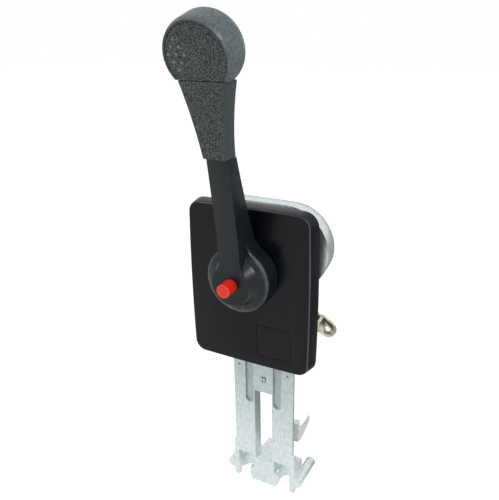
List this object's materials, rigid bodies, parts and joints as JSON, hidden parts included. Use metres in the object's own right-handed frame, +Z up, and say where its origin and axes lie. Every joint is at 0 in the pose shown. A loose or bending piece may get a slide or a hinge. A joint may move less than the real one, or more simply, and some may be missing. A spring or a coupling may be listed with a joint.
{
  "type": "boat throttle control lever",
  "caption": "Side-mount throttle and shift lever with round knob, flat cover, red throttle-only button and a die-cast housing whose long neck seats the control cables.",
  "frame": {"origin": "where the lever shaft's axis crosses the housing's panel face", "axes": "+X to the right seen from the lever's side, +Y into the panel away from the lever, +Z up along the lever at rest"},
  "size_m": [0.1233, 0.1409, 0.4526],
  "materials": {
    "housing_casting": "die cast, tumbled",
    "zinc_plate": "zinc plated",
    "screw_steel": "zinc plated",
    "cover_plastic": "moulded, fine satin",
    "insert_plastic": "moulded, fine satin",
    "bush_bronze": "sintered",
    "bright_steel": "ground",
    "spring_steel": "drawn wire",
    "clip_nylon": "moulded nylon",
    "lever_paint": "satin black-grey paint over a casting",
    "grip_plastic": "moulded with a leather-like grain",
    "knob_plastic": "moulded, fine grain",
    "pad_plastic": "moulded with a coarse grain",
    "gear_steel": "sintered, oiled",
    "arm_zinc": "yellow zinc plated",
    "button_plastic": "moulded"
  },
  "bodies": {
    "root": {"housing": "housing_casting", "rear_plate": "zinc_plate", "rear_plate_screws": "screw_steel", "cover": "cover_plastic", "blanking_insert": "insert_plastic", "cover_screws": "screw_steel", "neck_screw": "screw_steel", "front_bush": "bush_bronze", "rear_bush": "bush_bronze", "shift_bush": "bush_bronze", "detent_ball": "bright_steel", "detent_spring": "spring_steel", "cable_clip": "clip_nylon", "clip_rivet": "bright_steel", "cover_spacers": "zinc_plate"},
    "lever": {"lever_arm": "lever_paint", "grip_sleeve": "grip_plastic", "knob_body": "knob_plastic", "knob_pad": "pad_plastic", "knob_stud": "screw_steel", "hub_set_screw": "screw_steel", "main_shaft": "bright_steel", "thrust_washer": "zinc_plate", "drive_gear": "gear_steel", "detent_disc": "gear_steel", "shaft_spacer": "zinc_plate", "throttle_crank": "zinc_plate", "throttle_stud": "bright_steel", "crank_washer": "zinc_plate", "crank_nut": "screw_steel"},
    "shift": {"shift_shaft": "bright_steel", "shift_sector": "gear_steel", "shift_arm": "arm_zinc", "shift_stud": "bright_steel", "shift_clip": "spring_steel"},
    "button": {"throttle_button": "button_plastic", "button_rod": "bright_steel", "dog_pin": "bright_steel", "button_spring": "spring_steel"}
  },
  "joints": [
    {"name": "lever_turn", "type": "hinge", "parent": "root", "child": "lever", "pos_m": [0, 0, 0], "axis": [0, 1, 0], "range_deg": [-90, 80]},
    {"name": "shift_turn", "type": "hinge", "parent": "root", "child": "shift", "pos_m": [0, 0, -0.036], "axis": [0, 1, 0], "range_deg": [-41, 46]},
    {"name": "button_press", "type": "slide", "parent": "lever", "child": "button", "axis": [0, 1, 0], "range_m": [0, 0.0028], "stiffness_N_per_m": 500, "springref_m": -0.003, "deforming": ["button_spring"]}
  ],
  "couplings": [
    {"joint": "shift_turn", "follows": "lever_turn", "ratio": -0.5}
  ]
}
